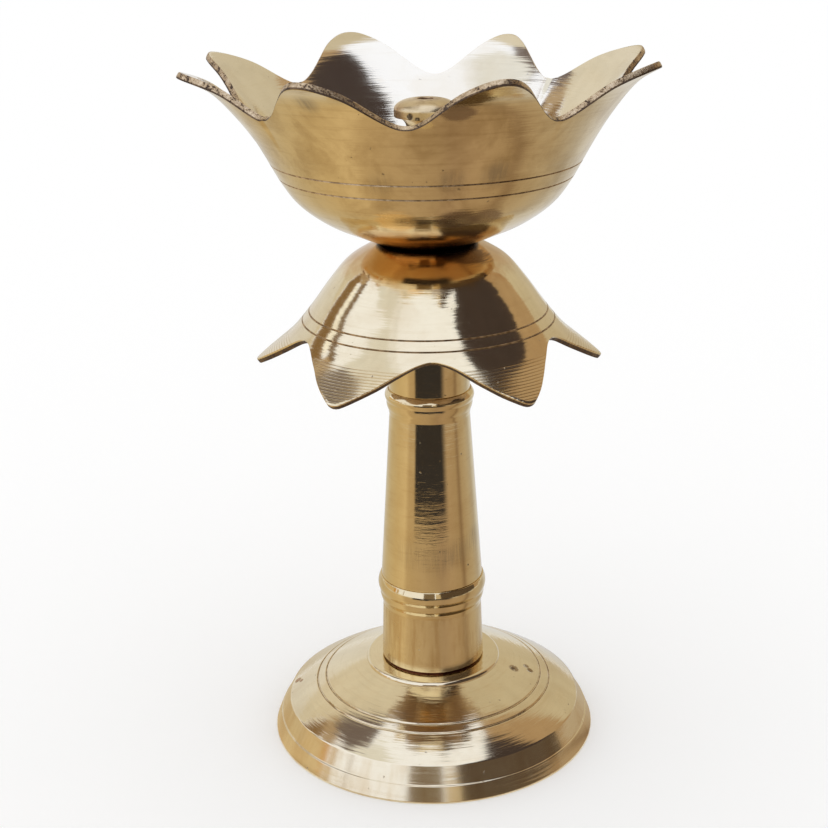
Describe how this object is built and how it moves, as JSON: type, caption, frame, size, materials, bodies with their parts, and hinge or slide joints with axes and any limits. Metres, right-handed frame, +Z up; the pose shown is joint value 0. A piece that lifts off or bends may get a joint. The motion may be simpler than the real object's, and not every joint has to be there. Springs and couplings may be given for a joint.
{
  "type": "oil lamp",
  "caption": "Brass oil lamp: an open lotus bowl with a central wick holder over a skirt of hanging petals, on a turned stem and a domed round base.",
  "frame": {"origin": "middle of the foot ring, on the surface that the lamp stands on", "axes": "+Z up along the axis of the stem; -Y towards the side with the notch of the skirt that faces the camera"},
  "size_m": [0.0983, 0.0949, 0.1579],
  "materials": {
    "base_brass": "lathe-turned and polished, pale gold",
    "stem_brass": "lathe-turned and polished, with faint tarnish",
    "skirt_brass": "polished, with fine turning rings on the petals",
    "bowl_brass": "brushed outside, bright inside, rough cut rim",
    "holder_brass": "turned, worn and darkened",
    "seal_leather": "oiled leather",
    "steel": "plain zinc-plated steel"
  },
  "bodies": {
    "pedestal": {"base": "base_brass", "stem_foot": "stem_brass", "stem_shaft": "stem_brass", "neck_sleeve": "stem_brass", "lower_lotus": "skirt_brass", "tie_rod": "steel", "base_washer": "steel", "base_nut": "steel"},
    "bowl": {"upper_lotus": "bowl_brass", "bowl_seal": "seal_leather"},
    "wick_holder": {"wick_holder": "holder_brass"}
  },
  "joints": [
    {"name": "bowl_lift", "type": "slide", "parent": "pedestal", "child": "bowl", "axis": [0, 0, 1], "range_m": [0, 0.006]},
    {"name": "wick_holder_turn", "type": "hinge", "parent": "bowl", "child": "wick_holder", "pos_m": [0, 0, 0.121], "axis": [0, 0, 1], "range_deg": [0, 2700]}
  ],
  "couplings": [
    {"joint": "wick_holder_turn", "follows": "bowl_lift", "rad_per_m": 7854}
  ]
}
